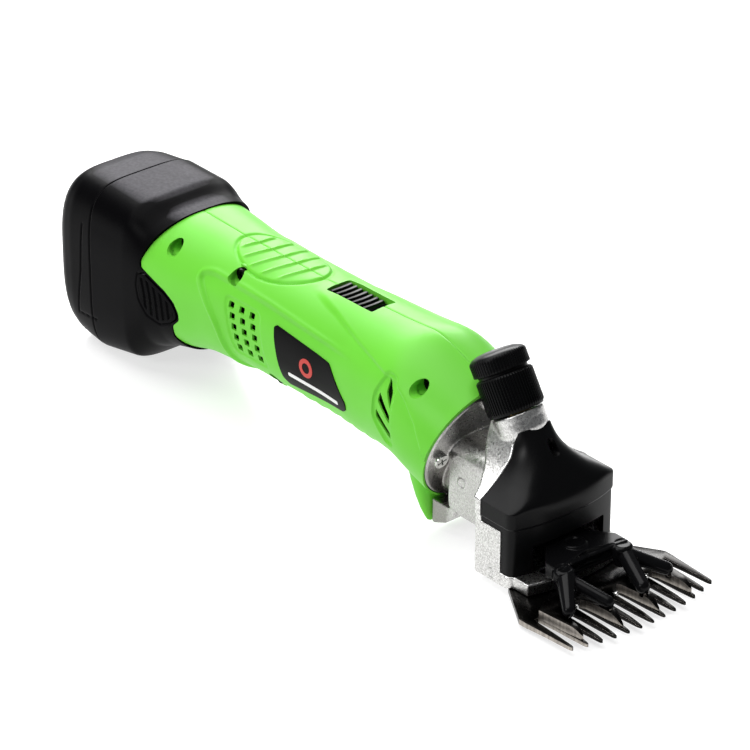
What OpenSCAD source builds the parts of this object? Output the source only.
// Cordless sheep shearing handpiece.
// +X points forward to the comb's tips, +Y to the tool's left, +Z up.
// The origin is on the table under the middle of the tool. Millimetres.

/* [Overall] */
// Distance from the middle of the tool to the comb's centre tip
tip_x = 172.5; // [172:0.5:173]
// Distance from the middle of the tool to the battery's rear face
rear_x = -172.5; // [-173:0.5:-172]

/* [Handle] */
// Height of the handle's axis
axis_z = 48.5; // [48:0.5:49]
// Radius of the grip
grip_r = 26; // [25.5:0.25:26.5]
// Wall thickness of the plastic shells
wall = 2.6; // [2.2:0.1:3]
// Tilt of the joint between handle and head
flange_tilt = 18; // [17:0.5:19]
// Radius of the head's round flange
flange_r = 27; // [26.8:0.1:27.1]
// Travel of the power switch
switch_travel = 4; // [3:0.5:4]

/* [Head] */
// Backward tilt of the tension knob
knob_tilt = 32.2; // [31:0.2:33]
// Radius of the tension knob
knob_r = 11.7; // [11:0.1:12]
// Half width of the head and its cover
head_hw = 27.8; // [27.4:0.1:28]
// Thread pitch of the tension knob
knob_pitch = 1.25; // [1:0.25:1.5]

/* [Comb and cutter] */
// Number of comb teeth
comb_teeth = 13; // [13]
// Distance between neighbouring comb tips
comb_pitch = 6.15; // [6:0.05:6.2]
// Height of the comb's ground top face
comb_top = 3.9; // [3.8:0.05:4]
// Thickness of the comb plate
comb_t = 2.3; // [2:0.1:2.4]
// Number of cutter teeth
cutter_teeth = 4; // [4]
// Gap between cutter and comb
cut_gap = 0.2; // [0.15:0.05:0.25]
// Sideways offset of the stopped cutter
cutter_offset = -3.1; // [-4:0.1:0]

/* [Drive] */
// Gear module
gear_m = 1; // [1]
// Teeth on the motor pinion
pinion_z = 9; // [9]
// Teeth on the crank gear
crank_z = 22; // [22]
// Throw of the crank pin
crank_e = 1.8; // [1.6:0.1:1.9]
// Radius of the motor can
motor_r = 17.9; // [17:0.1:18]
// Radial running clearance of shafts and pins
run = 0.05; // [0.03:0.01:0.08]

/* [Battery] */
// Half width of the battery pack
pack_hw = 31; // [30.5:0.1:31]
// Gap between battery and handle
pack_gap = 0.35; // [0.3:0.05:0.4]
// Travel of the release buttons
button_travel = 3; // [2:0.5:3]

/* [Hidden] */

far = 400;
seg = 32;
green = [0.38, 0.85, 0.22];
black = [0.09, 0.09, 0.1];
cast = [0.72, 0.72, 0.71];
steel = [0.42, 0.42, 0.43];
bright = [0.8, 0.8, 0.8];
brass = [0.75, 0.63, 0.3];
dark = [0.3, 0.29, 0.28];
copper = [0.75, 0.45, 0.25];

// handle rings: [x, centre height, tilt, half width, half height, squareness]
handle_rings = [
    [-110, 45, 0, 30.5, 30.5, 2.7],
    [-95.5, 46, 0, 29, 29, 2.6],
    [-77.5, axis_z - 0.8, 0, grip_r + 0.7, grip_r + 0.6, 2.4],
    [-52.5, axis_z - 0.3, 0, grip_r, grip_r - 0.1, 2.3],
    [-17.5, axis_z, 0, grip_r - 0.2, grip_r, 2.3],
    [12.5, axis_z + 0.2, 0, grip_r, grip_r + 0.3, 2.2],
    [32.5, axis_z + 0.5, 0, grip_r + 1, grip_r + 0.9, 2.2],
    [45.5, axis_z + 0.7, 4, grip_r + 2.8, grip_r + 2.4, 2.1],
    [55.5, 45, 11, grip_r + 3.3, grip_r + 2.2, 2],
    [70.5, 38.8, flange_tilt, flange_r + 1, flange_r + 1, 2]];

// where the two halves of the battery case meet
split_x = -144.5;
// battery rings, same columns
pack_rings = [
    [rear_x, 40, 0, 23.5, 30, 3.2],
    [rear_x + 3, 39.5, 0, 27, 35, 3.4],
    [rear_x + 12, 39.3, 0, pack_hw - 1, 39.3, 3.6],
    [split_x, 39.4, 0, pack_hw, 40.2, 3.7],
    [-121, 41.4, 0, pack_hw, 37.5, 3.6],
    [-110, 44.4, 0, pack_hw - 0.3, 32.6, 3.2],
    [-100, 45.7, 0, 29.6, 30.4, 2.9],
    [-82, 47, 0, 27.2, 28.2, 2.6]];

// where handle and battery meet, as x over height
seam = [[-96, 84], [-96, 74], [-108.8, 58], [-108, 55.3], [-94.8, 50.2], [-89.5, 46.5], [-87, 42],
        [-87.2, 38.5], [-91.5, 34.5], [-93, 28], [-90, 22], [-88, 8], [-88, -4]];
// outline of a release button, as x and height
button_outline = [[-107.5, 53.8], [-95.6, 48.8], [-90.6, 45.2], [-88.5, 41.5], [-88.7, 38.9],
                  [-92.7, 35.4], [-99, 32.8], [-106, 35], [-110.5, 41], [-111.8, 47], [-110.8, 52.5]];

// head: the flange, the knob's axis and the fork's pivot
sleeve_r = 5;
flange_x = 71;
flange_z = 38.6;
flange_t = 4;
knob_x = 93.1;
knob_z = 62.1;
fulcrum_x = 91.5;
fulcrum_r = 2.5;
cutter_tip_x = tip_x - 3.5;
tip_arm = cutter_tip_x - fulcrum_x;
fork_rest = asin(cutter_offset / tip_arm);

// drive train
crank_axis_z = axis_z - gear_m * (pinion_z + crank_z) / 2;
gear_x = 55;
gear_w = 6;
gear_room_r = gear_m * crank_z / 2 + 1.6;
roller_x = fulcrum_x - 15;
crank_pin_y = -(fulcrum_x - roller_x) * sin(fork_rest);
crank_pin_z = sqrt(crank_e * crank_e - crank_pin_y * crank_pin_y);
motor_front_x = 49;
motor_l = 50;
motor_rear_x = motor_front_x - motor_l;
shaft_r = 2;
armature_r = 13.5;
crank_shaft_r = 3;
crank_pin_r = 1.7;

// comb and cutter outline
comb_hw = 39;
comb_back_x = tip_x - 54;
comb_shoulder_x = tip_x - 34;
comb_root_x = tip_x - 29;
arc_drop = 6.37;
cutter_z = comb_top + cut_gap;
cutter_pitch = 3 * comb_pitch;
cutter_back_x = tip_x - 33;

// springs behind the release buttons
spring_x = -100;
spring_z = 43.5;

function spow(v, e) = sign(v) * pow(abs(v), 2 / e);
function ring(r, off) = [for (i = [0 : seg - 1])
    let (a = 360 * (i + 0.5) / seg,
         y = (r[3] + off) * spow(sin(a), r[5]),
         h = (r[4] + off) * spow(cos(a), r[5]))
    [r[0] + h * sin(r[2]), y, r[1] + h * cos(r[2])]];

// faces of a closed tube through n rings of m points
function tube_faces(n, m) = concat(
    [for (k = [0 : n - 2], i = [0 : m - 1], t = [0, 1])
        let (a = k * m + i, b = k * m + (i + 1) % m, c = b + m, d = a + m)
        t == 0 ? [a, b, c] : [a, c, d]],
    [[for (i = [m - 1 : -1 : 0]) i], [for (i = [0 : m - 1]) (n - 1) * m + i]]);

// solid through a list of rings, grown by off and lengthened by ext at both ends
module loft(rings, off = 0, ext = 0) {
    n = len(rings);
    pts = [for (k = [0 : n - 1])
        let (dx = k == 0 ? -ext : k == n - 1 ? ext : 0)
        for (p = ring(rings[k], off)) p + [dx, 0, 0]];
    polyhedron(points = pts, faces = tube_faces(n, seg), convexity = 6);
}

// helical wire along +Z with flat ends
module coil(r, wire, length, turns) {
    steps = turns * 12;
    sides = 6;
    pts = [for (k = [0 : steps]) let (a = 360 * turns * k / steps, h = length * k / steps)
        for (i = [0 : sides - 1]) let (b = -360 * i / sides)
        [(r + wire * cos(b)) * cos(a), (r + wire * cos(b)) * sin(a), h + wire * sin(b)]];
    polyhedron(points = pts, faces = tube_faces(steps + 1, sides), convexity = 10);
}

// placing helpers
module along_x(x, y, z) translate([x, y, z]) rotate([0, 90, 0]) children();
module along_y(x, y, z) translate([x, y, z]) rotate([-90, 0, 0]) children();
module at_knob(h = 0) {
    translate([knob_x, 0, knob_z]) rotate([0, -knob_tilt, 0]) translate([0, 0, h]) children();
}
// the front face of the flange, with +Z along the head
module at_flange(h = 0) {
    translate([flange_x, 0, flange_z]) rotate([0, 90 + flange_tilt, 0]) translate([0, 0, h]) children();
}
module at_comb_screw(s) translate([comb_back_x + 6.5, 13 * s, 0]) children();
module at_fork() translate([fulcrum_x, 0, 0]) rotate([0, 0, fork_rest]) children();
module xz_plate(y0, y1, pts) translate([0, y1, 0]) rotate([90, 0, 0]) linear_extrude(y1 - y0) polygon(pts);
module yz_plate(x0, x1, pts) translate([x0, 0, 0]) rotate([90, 0, 90]) linear_extrude(x1 - x0) polygon(pts);
module box(x, y, z) translate([x[0], y[0], z[0]]) cube([x[1] - x[0], y[1] - y[0], z[1] - z[0]]);

// everything behind the seam between battery and handle
module behind_seam(shift = 0) {
    xz_plate(-far / 2, far / 2, concat([for (p = seam) p + [shift, 0]], [[-300, -4], [-300, 84]]));
}

// ---- handle ----
// depth of the seats for the screw heads, from the middle plane
screw_seat = 14;
screw_spots = [[-95.5, 68], [-58.5, 67.5], [-33.4, 30], [59.3, 65.3]];
vent_x = [-53.5, -46.8, -40.1];
vent_z = [39.5, 43.9, 48.3, 52.7, 57.1];

module lug() {
    intersection() {
        xz_plate(-20, 20, [[51, 27], [54.5, 13], [57.2, 4], [58.4, 2.8], [59.8, 2.8], [60.4, 4],
                           [60.4, 27]]);
        yz_plate(40, 70, [[-20, 27], [-16, 2.8], [16, 2.8], [20, 27]]);
    }
}

// slanted slots beside the motor's fan and the grid of small vents further back
slots = [[[45, 64.5], [47, 63], [49, 55], [48, 53.5]],
         [[41, 56.5], [43, 56], [48.8, 48], [47.7, 45.5]],
         [[40, 48], [42, 47.6], [49, 41.5], [48.5, 39.3]]];

module vents() {
    for (p = slots) xz_plate(-40, -18, p);
    for (x = vent_x, h = vent_z) {
        lean = x - 0.3 * (h - axis_z);
        box([lean - 1.8, lean + 1.8], [-40, -18], [h - 1.2, h + 1.2]);
    }
}

module right_openings() {
    for (s = screw_spots) {
        along_y(s[0], -40, s[1]) cylinder(r = 3.3, h = 40 - screw_seat, $fn = 32);
        along_y(s[0], -20, s[1]) cylinder(r = 1.6, h = 40, $fn = 24);
    }
    vents();
}

module switch_window(grow = 0) {
    box([-15.5 - grow, 13.5 + grow], [-6.5 - grow, 6.5 + grow], [66, 84]);
}

module handle_blank() {
    difference() {
        union() {
            difference() {
                loft(handle_rings);
                loft(handle_rings, -wall, 3);
            }
            intersection() {
                loft(handle_rings, -0.5);
                union() {
                    for (s = screw_spots) along_y(s[0], -32, s[1]) cylinder(r = 4.2, h = 64, $fn = 32);
                    box([motor_front_x + 0.2, gear_x - 3.4], [-33, 33], [10, 80]);
                    box([-2, 1], [-33, 33], [10, 80]);
                }
            }
            difference() {
                lug();
                loft(handle_rings, -0.8, 3);
            }
        }
        // seats for the motor and the gearbox plate
        along_x(-3, 0, axis_z) cylinder(r = motor_r + 0.1, h = 50, $fn = 64);
        along_x(48, 0, axis_z) cylinder(r = motor_r + 1.2, h = 12, $fn = 64);
        along_x(48, 0, crank_axis_z) cylinder(r = gear_room_r, h = 16, $fn = 64);
        switch_window();
        box([-19, 17], [-9, 9], [66.4, 72.6]);
        behind_seam();
        // seat of the flange, and room under the knob
        at_flange(-flange_t - 0.2) cylinder(r = flange_r + 0.15, h = 20, $fn = 96);
        at_knob(-0.5) cylinder(r = knob_r + 0.8, h = 40, $fn = 64);
        box([60.5, 70], [-15.9, 15.9], [2, 16]);
    }
}

module handle_shell_right() {
    color(green) difference() {
        intersection() {
            handle_blank();
            box([-far, far], [-far, 0], [-far, far]);
        }
        right_openings();
    }
}

module handle_shell_left() {
    color(green) difference() {
        intersection() {
            handle_blank();
            box([-far, far], [0, far], [-far, far]);
        }
        mirror([0, 1, 0]) vents();
        for (s = screw_spots) along_y(s[0], -1, s[1]) cylinder(r = 1.5, h = 11, $fn = 24);
    }
}

module handle_screws() {
    color(steel) for (s = screw_spots) {
        along_y(s[0], -14, s[1]) cylinder(r = 1.5, h = 23, $fn = 24);
        along_y(s[0], -screw_seat - 2.4, s[1]) difference() {
            cylinder(r = 2.8, h = 2.4, $fn = 32);
            for (a = [0, 90]) rotate([0, 0, a]) translate([-1.8, -0.4, -0.5]) cube([3.6, 0.8, 1.5]);
        }
    }
}

module label_plate() {
    intersection() {
        difference() {
            loft(handle_rings, 0.35);
            loft(handle_rings, 0.02, 3);
        }
        xz_plate(-40, -15, [[-24.5, 61.5], [-20, 62], [9.5, 58], [11, 56.5], [19, 43], [18.5, 38.5],
                            [15, 37], [-17.5, 39.5], [-20.5, 42], [-25.3, 59]]);
    }
}
module label_plate_right() { color(black) label_plate(); }
module label_plate_left() { color(black) mirror([0, 1, 0]) label_plate(); }

// ---- switch ----
module switch_body() {
    color([0.15, 0.15, 0.16]) difference() {
        box([-14, 12], [-5.5, 5.5], [66.7, 71]);
        box([-9, 7], [-1.6, 1.6], [69, 72]);
    }
}

module switch_slider() {
    top = axis_z + grip_r;
    color(black) {
        box([-14.8, 8.8], [-6, 6], [71.5, top - 0.6]);
        box([-5.5, -0.5], [-1.2, 1.2], [69.4, 71.5]);
        for (k = [0 : 6]) intersection() {
            along_y(-13 + 3.3 * k, -6, top - 0.9) cylinder(r = 1.2, h = 12, $fn = 24);
            box([-20, 20], [-6, 6], [71.5, top + 1]);
        }
    }
}

// ---- electrics in the handle ----
module terminal_block() {
    color(black) difference() {
        box([-62, -50], [-14, 14], [30, 58]);
        for (y = [-8, 0, 8]) box([-63, -53], [y - 0.9, y + 0.9], [35, 53]);
    }
}

wire_r = 1;
// round wire through a few points, with its rings square to the mean direction
module lead(points, r) {
    n = len(points);
    sides = 8;
    dirs = [for (k = [0 : n - 1])
        let (d = points[min(k + 1, n - 1)] - points[max(k - 1, 0)]) d / norm(d)];
    pts = [for (k = [0 : n - 1])
        let (across = cross(dirs[k], [0, 0.6, 1]), u = across / norm(across), v = cross(dirs[k], u))
        for (i = [0 : sides - 1]) let (a = -360 * i / sides) points[k] + r * (cos(a) * u + sin(a) * v)];
    polyhedron(points = pts, faces = tube_faces(n, sides), convexity = 6);
}

module wiring() {
    color([0.7, 0.1, 0.1]) {
        lead([[-49.9, -8, 44], [-42, -8, 46], [-30, -8, 55], [-24, -7, 64], [-20, -5, 68],
              [-14.4, -4, 68.6]], wire_r);
        lead([[-49.9, 8, 44], [-40, 9, 44], [-26, 11, 48], [-15.4, 12, 48.5]], wire_r);
        lead([[-14.4, 3.5, 68.6], [-18, 3, 67], [-21, -2, 60], [-20, -10, 51], [-15.4, -12, 48.5]],
             wire_r);
    }
}

// ---- motor ----
module motor_can() {
    color(steel) difference() {
        along_x(motor_rear_x, 0, axis_z) cylinder(r = motor_r, h = motor_l, $fn = 64);
        along_x(motor_rear_x - 1, 0, axis_z) cylinder(r = motor_r - 1.2, h = motor_l - 0.5, $fn = 64);
        along_x(40, 0, axis_z) cylinder(r = 6.5, h = 20, $fn = 48);
    }
}

module motor_end_cap() {
    color(black) difference() {
        union() {
            along_x(motor_rear_x - 3, 0, axis_z) cylinder(r = motor_r - 0.4, h = 3, $fn = 64);
            along_x(motor_rear_x - 13, 0, axis_z) cylinder(r = 6, h = 11, $fn = 48);
            for (y = [-12, 12]) box([-15, -3], [y - 1.5, y + 1.5], [46, 51]);
        }
        along_x(-20, 0, axis_z) cylinder(r = shaft_r + run, h = 40, $fn = 32);
    }
}

module motor_armature() {
    color(copper) difference() {
        union() {
            along_x(8, 0, axis_z) cylinder(r = armature_r, h = 28, $fn = 48);
            along_x(4, 0, axis_z) cylinder(r = 7, h = 36, $fn = 48);
        }
        along_x(-20, 0, axis_z) cylinder(r = shaft_r, h = 80, $fn = 32);
    }
}

module motor_shaft() {
    color(steel) along_x(-15, 0, axis_z) cylinder(r = shaft_r, h = gear_x + gear_w + 14.6, $fn = 32);
}

module cooling_fan() {
    color([0.2, 0.2, 0.22]) difference() {
        union() {
            along_x(41.5, 0, axis_z) cylinder(r = 5.6, h = 4.5, $fn = 48);
            for (a = [0 : 60 : 300]) along_x(42, 0, axis_z) rotate([0, 0, a])
                translate([4.5, -0.6, 0]) cube([9, 1.2, 3.5]);
            along_x(41.5, 0, axis_z) cylinder(r = armature_r, h = 0.8, $fn = 48);
        }
        along_x(30, 0, axis_z) cylinder(r = shaft_r, h = 30, $fn = 32);
    }
}

// ---- gears ----
// outline of a spur gear with trapezoid teeth, one tooth on the +X axis
function gear_outline(z) = let (rp = gear_m * z / 2, p = 360 / z)
    [for (k = [0 : z - 1], c = [[-1.15, -0.27], [0.85, -0.09], [0.85, 0.09], [-1.15, 0.27]])
        let (r = rp + c[0] * gear_m, a = p * (k + c[1])) [r * cos(a), r * sin(a)]];

module motor_pinion() {
    color(brass) difference() {
        along_x(gear_x, 0, axis_z) linear_extrude(gear_w) polygon(gear_outline(pinion_z));
        along_x(gear_x - 1, 0, axis_z) cylinder(r = shaft_r, h = gear_w + 2, $fn = 32);
    }
}

module drive_gear() {
    color([0.85, 0.84, 0.78]) difference() {
        along_x(gear_x, 0, crank_axis_z) rotate([0, 0, 180 / crank_z]) linear_extrude(gear_w - 0.5)
            polygon(gear_outline(crank_z));
        along_x(gear_x - 1, 0, crank_axis_z) cylinder(r = crank_shaft_r, h = gear_w + 2, $fn = 32);
        for (a = [0 : 60 : 300]) along_x(gear_x - 1, 0, crank_axis_z) rotate([0, 0, a])
            translate([7, 0, 0]) cylinder(r = 1.8, h = gear_w + 2, $fn = 24);
    }
}

module gearbox_plate() {
    color(steel) difference() {
        union() {
            along_x(motor_front_x + 0.2, 0, axis_z) cylinder(r = motor_r + 1, h = 2.8, $fn = 64);
            along_x(motor_front_x + 0.2, 0, crank_axis_z) cylinder(r = 9.5, h = 2.8, $fn = 48);
        }
        along_x(40, 0, axis_z) cylinder(r = 6.4, h = 20, $fn = 48);
        along_x(40, 0, crank_axis_z) cylinder(r = 5, h = 20, $fn = 48);
    }
}

module crank_bearings() {
    color(bright) for (x = [motor_front_x + 0.2, 63.5])
        difference() {
            along_x(x, 0, crank_axis_z) cylinder(r = x < 60 ? 5 : 6.5, h = x < 60 ? 2.8 : 5, $fn = 48);
            along_x(x - 1, 0, crank_axis_z) cylinder(r = crank_shaft_r + run, h = 8, $fn = 48);
        }
}

module crank_shaft() {
    color(steel) {
        along_x(motor_front_x + 0.2, 0, crank_axis_z)
            cylinder(r = crank_shaft_r, h = 71.5 - motor_front_x, $fn = 48);
        along_x(70.5, 0, crank_axis_z) cylinder(r = 5, h = 3, $fn = 48);
        along_x(73, crank_pin_y, crank_axis_z + crank_pin_z) cylinder(r = crank_pin_r, h = 7, $fn = 32);
    }
}

module crank_roller() {
    color(bright) along_x(roller_x, crank_pin_y, crank_axis_z + crank_pin_z) difference() {
        intersection() {
            sphere(r = 3.4, $fn = 32);
            translate([0, 0, -2.6]) cylinder(r = 4, h = 5.2, $fn = 32);
        }
        translate([0, 0, -4]) cylinder(r = crank_pin_r, h = 8, $fn = 32);
    }
}

// ---- head ----
head_back_x = 100.3;
head_bottom_z = 3;
// outline of the head in side view, above the comb bed
head_side = [[head_back_x, 2], [head_back_x, 37], [87, 55], [96, 66], [101, 65.5], [104.5, 61],
             [111, 56], [117, 48], [121.5, 42], [125.6, 36.5], [125, 27], [124, 10], [124, 2]];
// half outline of the head in front view: [half width, height]
head_front = [[head_hw, head_bottom_z], [head_hw, 37], [22, 41], [16.5, 44.5], [11.5, 49],
              [8.5, 55], [7.5, 66]];
// the head's front is a part of a cylinder about an upright axis
arc_x = 48.5;
arc_r = 77.2;
// top of the comb bed
bed_z = 9.1;
// everything that belongs to the cover, in side view
cover_side = [[115, bed_z + 0.1], [115, 27.5], [103.5, 27.5], [103.5, 50], [100, 61.5],
              [130, 61.5], [130, bed_z + 0.1]];
// radius of the knob's boss, and the height of its collar along the knob's axis
boss_r = 9;
collar_h = -7.5;

module front_outline(x0, x1, grow = 0) {
    left = [for (p = head_front) p + [grow, 0]];
    right = [for (k = [len(left) - 1 : -1 : 0]) [-left[k][0], left[k][1]]];
    yz_plate(x0, x1, concat(left, right));
}

module head_blank() {
    intersection() {
        xz_plate(-40, 40, head_side);
        front_outline(80, 140);
        translate([arc_x, 0, -10]) cylinder(r = arc_r, h = 100, $fn = 128);
    }
}

// arched neck between the flange and the head
neck_x = 71.5;
neck_z = 28;
neck_hw = 16.5;
tunnel_r = 15.2;

// tunnel through the neck, wider inside the head
module fork_tunnel() {
    intersection() {
        box([70.6, 106], [-13.6, 13.6], [13, 44]);
        along_x(50, 0, neck_z) cylinder(r = tunnel_r, h = 70, $fn = 64);
    }
    box([head_back_x + 2.5, 108], [-22, 22], [bed_z, 36]);
}

module neck() {
    intersection() {
        along_x(neck_x, 0, neck_z) cylinder(r = 17.5, h = head_back_x + 1 - neck_x, $fn = 64);
        box([60, 110], [-neck_hw, neck_hw], [10, 50]);
    }
    box([neck_x, head_back_x + 1], [-neck_hw, neck_hw], [10, 30]);
    // waist between the flange and the neck
    along_x(62, 0, neck_z) cylinder(r = tunnel_r, h = neck_x - 61, $fn = 64);
}

module head_casting() {
    color(cast) difference() {
        union() {
            at_flange(-flange_t) cylinder(r = flange_r, h = flange_t, $fn = 96);
            at_flange(-flange_t - 3) cylinder(r = flange_r - wall - 0.9, h = 4, $fn = 96);
            along_x(62.5, 0, crank_axis_z) cylinder(r = 9, h = 8, $fn = 48);
            neck();
            difference() {
                head_blank();
                xz_plate(-40, 40, cover_side);
            }
            at_knob(-16) cylinder(r = boss_r, h = 10, $fn = 64);
            at_knob(collar_h) cylinder(r = 10.8, h = -0.6 - collar_h, $fn = 64);
            // comb bed with its curved front edge
            intersection() {
                box([head_back_x, 140], [-26, 26], [comb_top + 0.1, bed_z]);
                translate([arc_x, 0, 0]) cylinder(r = arc_r + 7.3, h = 20, $fn = 128);
            }
            // foot under the joint
            xz_plate(-15.5, 15.5, [[60.8, 14], [60.8, 3.4], [62, 3], [69, 6], [74, 11], [74, 14]]);
        }
        fork_tunnel();
        // the fork leaves under the cover
        box([100, 130], [-22, 22], [bed_z, 28]);
        at_knob(-0.4) cylinder(r = knob_r + 3, h = 30, $fn = 64);
        // room behind the cover
        box([head_back_x + 2.5, 112], [-20, 20], [bed_z, 40]);
        along_x(60, 0, crank_axis_z) cylinder(r = 6.5, h = 8.5, $fn = 48);
        along_x(60, 0, crank_axis_z) cylinder(r = 6, h = 20, $fn = 48);
        // recess for the drive gear and the pinion behind the flange
        along_x(50, 0, crank_axis_z) cylinder(r = gear_room_r, h = 12.4, $fn = 64);
        along_x(50, 0, axis_z) cylinder(r = 6.5, h = 13, $fn = 48);
        // bore of the tension sleeve
        at_knob(-30) cylinder(r = sleeve_r + run, h = 40, $fn = 48);
        translate([fulcrum_x, 0, 0]) cylinder(r = fulcrum_r, h = 14, $fn = 32);
        for (s = [-1, 1]) at_comb_screw(s) cylinder(r = 2.5, h = 9, $fn = 32);
        for (p = flange_screw_spots) at_flange(-9) rotate([0, 0, p[0]]) translate([p[1], 0, 0])
            cylinder(r = 1.75, h = 20, $fn = 24);
        // wall of the comb: the plate passes below the bed
        box([comb_back_x - 0.6, 140], [-40, 40], [-1, comb_top + 0.1]);
    }
}

// angle and radius of each flange screw
flange_screw_spots = [[180, 20], [90, 21], [-90, 21]];

module flange_screws() {
    color(steel) for (p = flange_screw_spots) at_flange() rotate([0, 0, p[0]])
        translate([p[1], 0, 0]) {
            difference() {
                cylinder(r = 3.2, h = 2.2, $fn = 32);
                for (b = [20, 110]) rotate([0, 0, b]) translate([-2.2, -0.4, 1.2]) cube([4.4, 0.8, 2]);
            }
            translate([0, 0, -8]) cylinder(r = 1.7, h = 8.5, $fn = 24);
        }
}

module head_cover() {
    color(black) difference() {
        intersection() {
            head_blank();
            xz_plate(-40, 40, cover_side);
        }
        // hollow of the cover
        intersection() {
            xz_plate(-40, 40, [[90, 4], [90, 66], [101, 58], [108.5, 54], [114.5, 46], [118.5, 40.5],
                               [123, 35], [122.6, 4]]);
            front_outline(80, 140, -2.2);
            translate([arc_x, 0, -10]) cylinder(r = arc_r - wall, h = 100, $fn = 128);
        }
        // window for the fork
        box([110, 140], [-18, 20], [7, 21]);
        // oil slot
        along_x(100, 0, 54) cylinder(r = 1.4, h = 30, $fn = 24);
        at_knob(-20) cylinder(r = boss_r + 0.3, h = 40, $fn = 64);
        at_knob(collar_h - 0.3) cylinder(r = 30, h = 40, $fn = 64);
    }
}

module fulcrum_post() {
    color(steel) translate([fulcrum_x, 0, 0]) {
        translate([0, 0, 8.2]) cylinder(r = fulcrum_r, h = 24.3, $fn = 32);
        translate([0, 0, 30.8]) cylinder(r = 4.2, h = 2.5, $fn = 32);
    }
}

// ---- fork and cutter, turned together about the fulcrum post ----
// bottom and top of the hub, and half the width of the rear arms
fork_hub = [16, 30];
rear_hw = 9.7;
// the front bar and the feet at its ends
bar_x = 49;
foot_y = 15;
foot_r = 3.4;
// where the tension pin's ball sits in the fork
seat_x = 25.8;
seat_z = 23.6;
ball_r = 2.8;

module fork_arm() {
    color(black) at_fork() difference() {
        union() {
            translate([0, 0, fork_hub[0]]) cylinder(r = 6.5, h = fork_hub[1] - fork_hub[0], $fn = 48);
            // rear arms around the crank roller
            for (y = [-rear_hw, rear_hw - 2]) xz_plate(y, y + 2, [[-19, 27], [-19, 37.2], [-7, 36],
                [0, 28], [0, 18], [-8, 18]]);
            intersection() {
                box([-7.5, 3], [-rear_hw, rear_hw], [18, 28]);
                cylinder(r = rear_hw, h = 60, $fn = 64);
            }
            // front arm, sloping down through the window to its curved front bar
            intersection() {
                xz_plate(-20, 20, [[0, 18], [0, 28], [12, 27], [22, 21], [32, 19], [bar_x, 18.6],
                                   [bar_x + 1, 17.4], [bar_x - 1, 12.5], [30, 11.5], [16, 13]]);
                linear_extrude(60) polygon([[-2, -6], [20, -7.5], [32, -10], [bar_x - 8, -18],
                    [bar_x - 1, -18.3], [bar_x - 3, -10], [bar_x - 5, 0], [bar_x - 3, 10],
                    [bar_x - 1, 18.3], [bar_x - 8, 18], [32, 10], [20, 7.5], [-2, 6]]);
            }
            // seat for the tension pin
            translate([seat_x, 0, 15]) cylinder(r = 4.2, h = seat_z - 15.6, $fn = 48);
        }
        translate([0, 0, 5]) cylinder(r = fulcrum_r + run, h = 40, $fn = 48);
        translate([0, 0, fork_hub[1]]) cylinder(r = 8, h = 20, $fn = 48);
        translate([seat_x, 0, seat_z]) sphere(r = ball_r + 0.4, $fn = 32);
        // window in the front of the arm
        box([33.5, bar_x - 9], [-6, 6], [5, 30]);
        for (s = [-1, 1]) translate([bar_x, s * foot_y, 0]) cylinder(r = foot_r, h = 40, $fn = 32);
    }
}

// round tapered prong between two points
module prong(a, b, r0, r1) {
    hull() {
        translate(a) sphere(r = r0, $fn = 20);
        translate(b) sphere(r = r1, $fn = 20);
    }
}

// a foot's two prongs press on the cutter at these places, [forward, sideways]
prong_ends = [[68.5, 8.8], [64, 25]];
prong_end_z = cutter_z + 5;

module fork_foot(s) {
    color(black) at_fork() {
        translate([bar_x, s * foot_y, 9.5]) cylinder(r = foot_r, h = 9.6, $fn = 32);
        for (e = prong_ends)
            prong([bar_x + 1, s * foot_y, 13.6], [e[0], s * e[1], prong_end_z], 2.9, 1.7);
    }
}
module fork_foot_right() { fork_foot(-1); }
module fork_foot_left() { fork_foot(1); }

module cutter() {
    back = cutter_back_x - fulcrum_x;
    color(dark) at_fork() difference() {
        intersection() {
            xz_plate(-40, 40, [[back, cutter_z], [back, cutter_z + 3], [back + 6, cutter_z + 3.6],
                               [tip_arm - 13, cutter_z + 3.9], [tip_arm - 6, cutter_z + 2.8],
                               [tip_arm - 1.5, cutter_z + 0.9], [tip_arm, cutter_z]]);
            union() {
                translate([0, 0, cutter_z - 1]) linear_extrude(10) polygon([[back, -24], [back, 24],
                    [back + 5, 31], [back + 10.5, 31], [back + 10.5, -31], [back + 5, -31]]);
                for (k = [0 : cutter_teeth - 1]) {
                    y = (k - (cutter_teeth - 1) / 2) * cutter_pitch;
                    d = abs(y) > cutter_pitch ? 2.2 : 0;
                    tip = tip_arm - d;
                    translate([0, 0, cutter_z - 1]) linear_extrude(10) polygon([[back + 8, y - 4.2],
                        [tip - 1, y - 0.7], [tip, y], [tip - 1, y + 0.7], [back + 8, y + 4.2]]);
                }
            }
        }
        // sockets for the fork's prongs
        for (s = [-1, 1], e = prong_ends) translate([e[0], s * e[1], prong_end_z]) sphere(r = 1.9, $fn = 24);
    }
}

// ---- comb ----
function tip_at(y) = tip_x - arc_drop * pow(y / 38, 2);

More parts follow.
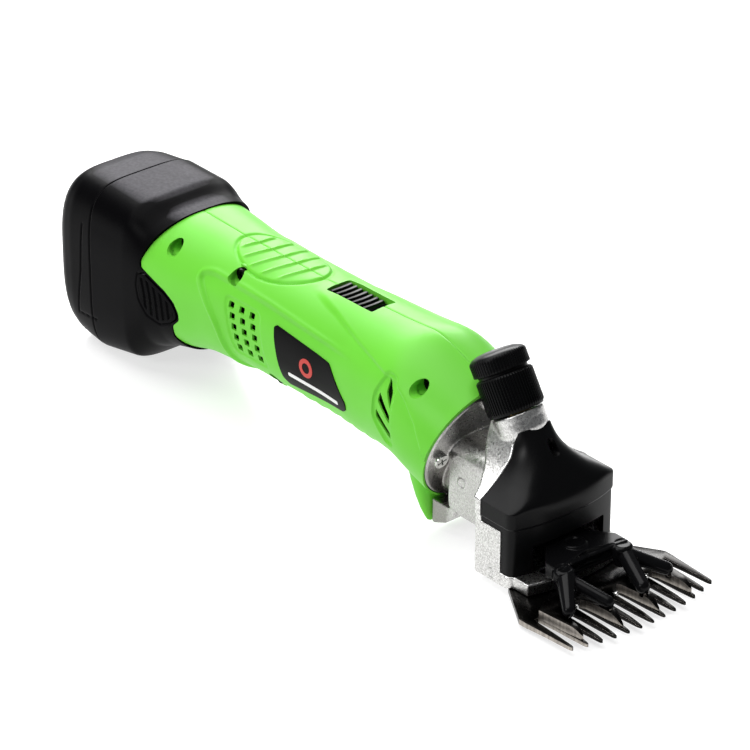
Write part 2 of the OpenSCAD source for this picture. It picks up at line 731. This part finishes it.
module comb() {
    last = (comb_teeth - 1) / 2;
    color(steel) difference() {
        intersection() {
            xz_plate(-45, 45, [[comb_back_x, comb_top - comb_t], [comb_back_x, comb_top],
                               [tip_x - 6, comb_top], [tip_x, comb_top - 0.9], [tip_x, comb_top - 1.7],
                               [tip_x - 8, comb_top - comb_t]]);
            translate([0, 0, -1]) linear_extrude(10) {
                polygon([[comb_back_x, -26.5], [comb_shoulder_x, -comb_hw], [comb_root_x, -comb_hw],
                         [comb_root_x, comb_hw], [comb_shoulder_x, comb_hw], [comb_back_x, 26.5]]);
                for (k = [-last : last]) {
                    y = k * comb_pitch;
                    w = abs(k) == last ? 2.1 : 1.5;
                    out = abs(k) == last ? -sign(k) * 0.1 : 0;
                    x1 = tip_at(y);
                    polygon([[comb_root_x - 2, y - w + out], [x1 - 8, y - 1.1], [x1 - 0.8, y - 0.5],
                             [x1, y], [x1 - 0.8, y + 0.5], [x1 - 8, y + 1.1],
                             [comb_root_x - 2, y + w + out]]);
                }
            }
        }
        // open slots for the comb screws
        for (s = [-1, 1]) at_comb_screw(s) {
            cylinder(r = 2.8, h = 10, $fn = 32);
            box([-8, 0], [-2.8, 2.8], [0, 10]);
        }
    }
}

module comb_screws() {
    color(steel) for (s = [-1, 1]) at_comb_screw(s) {
        difference() {
            translate([0, 0, 0.1]) cylinder(r = 4.6, h = comb_top - comb_t - 0.1, $fn = 48);
            translate([-5, -0.5, -0.5]) cube([10, 1, 1.2]);
        }
        translate([0, 0, 0.5]) cylinder(r = 2.5, h = 8.2, $fn = 32);
    }
}

// ---- tension ----
// heights of the pin's two balls along the knob's axis
ball_top = -11;
ball_low = -45.5;
pin_l = ball_top - ball_low;
pin_rest = asin(seat_x * sin(fork_rest) / pin_l);

module tension_pin() {
    color(steel) at_knob(ball_top) rotate([pin_rest, 0, 0]) {
        translate([0, 0, -pin_l]) sphere(r = ball_r, $fn = 32);
        translate([0, 0, -pin_l]) cylinder(r = 1.8, h = pin_l, $fn = 32);
        sphere(r = ball_r, $fn = 32);
    }
}

module tension_sleeve() {
    color(brass) at_knob() difference() {
        translate([0, 0, -16]) cylinder(r = sleeve_r, h = 30, $fn = 48);
        translate([0, 0, ball_top]) sphere(r = ball_r + 0.3, $fn = 32);
        translate([0, 0, -20]) cylinder(r1 = 4.5, r2 = 3.1, h = 9, $fn = 48);
    }
}

module tension_knob() {
    ribs = 36;
    color(black) at_knob() difference() {
        union() {
            rotate_extrude($fn = 72) polygon([[0, 0.6], [knob_r - 0.6, 0.6], [knob_r - 0.3, 1],
                [knob_r - 0.3, 15.2], [knob_r - 1.6, 15.8], [knob_r - 1.6, 16.8], [knob_r - 0.1, 17.4],
                [knob_r - 0.1, 21.6], [knob_r - 0.9, 23.6], [knob_r - 2.8, 25], [knob_r - 6, 25.7],
                [0, 26]]);
            for (k = [0 : ribs - 1]) rotate([0, 0, 360 * k / ribs]) translate([knob_r - 0.5, -0.45, 1])
                cube([0.6, 0.9, 14.2]);
        }
        translate([0, 0, -1]) cylinder(r = sleeve_r + run, h = 15.3, $fn = 48);
    }
}

// ---- battery ----
// wrapped 18650 cells
cell_r = 9.1;
cell_l = 65;

module pack_skin() {
    difference() {
        loft(pack_rings);
        loft(pack_rings, -wall, 0.001);
    }
    // thicker floor, so that the foot can be flat
    intersection() {
        loft(pack_rings, -0.3);
        box([rear_x + 6, -118], [-24, 24], [-5, 2.6]);
    }
}

module pack_slice(x0, x1) {
    intersection() {
        union() {
            pack_skin();
            intersection() {
                loft(pack_rings, -0.4);
                box([rear_x - 1, rear_x + 3], [-40, 40], [-5, 90]);
            }
            intersection() {
                loft(pack_rings, -0.4);
                box([-123, -120], [-40, 40], [-5, 90]);
            }
        }
        behind_seam(-pack_gap);
        box([x0, x1], [-40, 40], [0, 90]);
    }
}

tongue = [[-121, -66], [-13, 13], [30, 58]];

module battery_case_front() {
    color(black) difference() {
        union() {
            pack_slice(split_x, -50);
            box(tongue[0], tongue[1], tongue[2]);
        }
        box([-125, -68.5], [-11, 11], [32, 56]);
        for (s = [0, 1]) mirror([0, s, 0]) button_prism(-40, -20, 0.35);
        for (y = [-8, 0, 8]) box([-70, -60], [y - 0.8, y + 0.8], [37, 51]);
    }
}

module battery_case_rear() {
    color(black) pack_slice(rear_x - 1, split_x);
}

module battery_cells() {
    color([0.15, 0.35, 0.6]) for (x = [-156, -137.2], y = [-9.4, 9.4])
        translate([x, y, 7.2]) cylinder(r = cell_r, h = cell_l, $fn = 48);
}

module battery_board() {
    color([0.1, 0.4, 0.2]) box([-125.6, -124], [-22, 22], [20, 66]);
}

module battery_terminals() {
    color(brass) for (y = [-8, 0, 8]) box([-72, -53.8], [y - 0.5, y + 0.5], [39, 49]);
}

// prism through a release button's outline, grown about its middle
module button_prism(y0, y1, grow = 0) {
    mid = [-100, 43.5];
    xz_plate(y0, y1, [for (p = button_outline) p + grow * (p - mid) / norm(p - mid)]);
}

module release_button() {
    color(black) intersection() {
        button_prism(-34, -25.5);
        loft(pack_rings, 0.1);
    }
}
module release_button_right() { release_button(); }
module release_button_left() { mirror([0, 1, 0]) release_button(); }

module release_spring() {
    color(bright) along_y(spring_x, -24.9, spring_z) coil(4, 0.45, 11.2, 4);
}
module release_spring_right() { release_spring(); }
module release_spring_left() { mirror([0, 1, 0]) release_spring(); }

handle_shell_right();
handle_shell_left();
handle_screws();
label_plate_right();
label_plate_left();
switch_body();
switch_slider();
terminal_block();
wiring();
motor_can();
motor_end_cap();
motor_armature();
motor_shaft();
cooling_fan();
motor_pinion();
gearbox_plate();
crank_bearings();
crank_shaft();
drive_gear();
crank_roller();
head_casting();
flange_screws();
head_cover();
fulcrum_post();
fork_arm();
fork_foot_right();
fork_foot_left();
cutter();
comb();
comb_screws();
tension_pin();
tension_sleeve();
tension_knob();
battery_case_front();
battery_case_rear();
battery_cells();
battery_board();
battery_terminals();
release_button_right();
release_button_left();
release_spring_right();
release_spring_left();
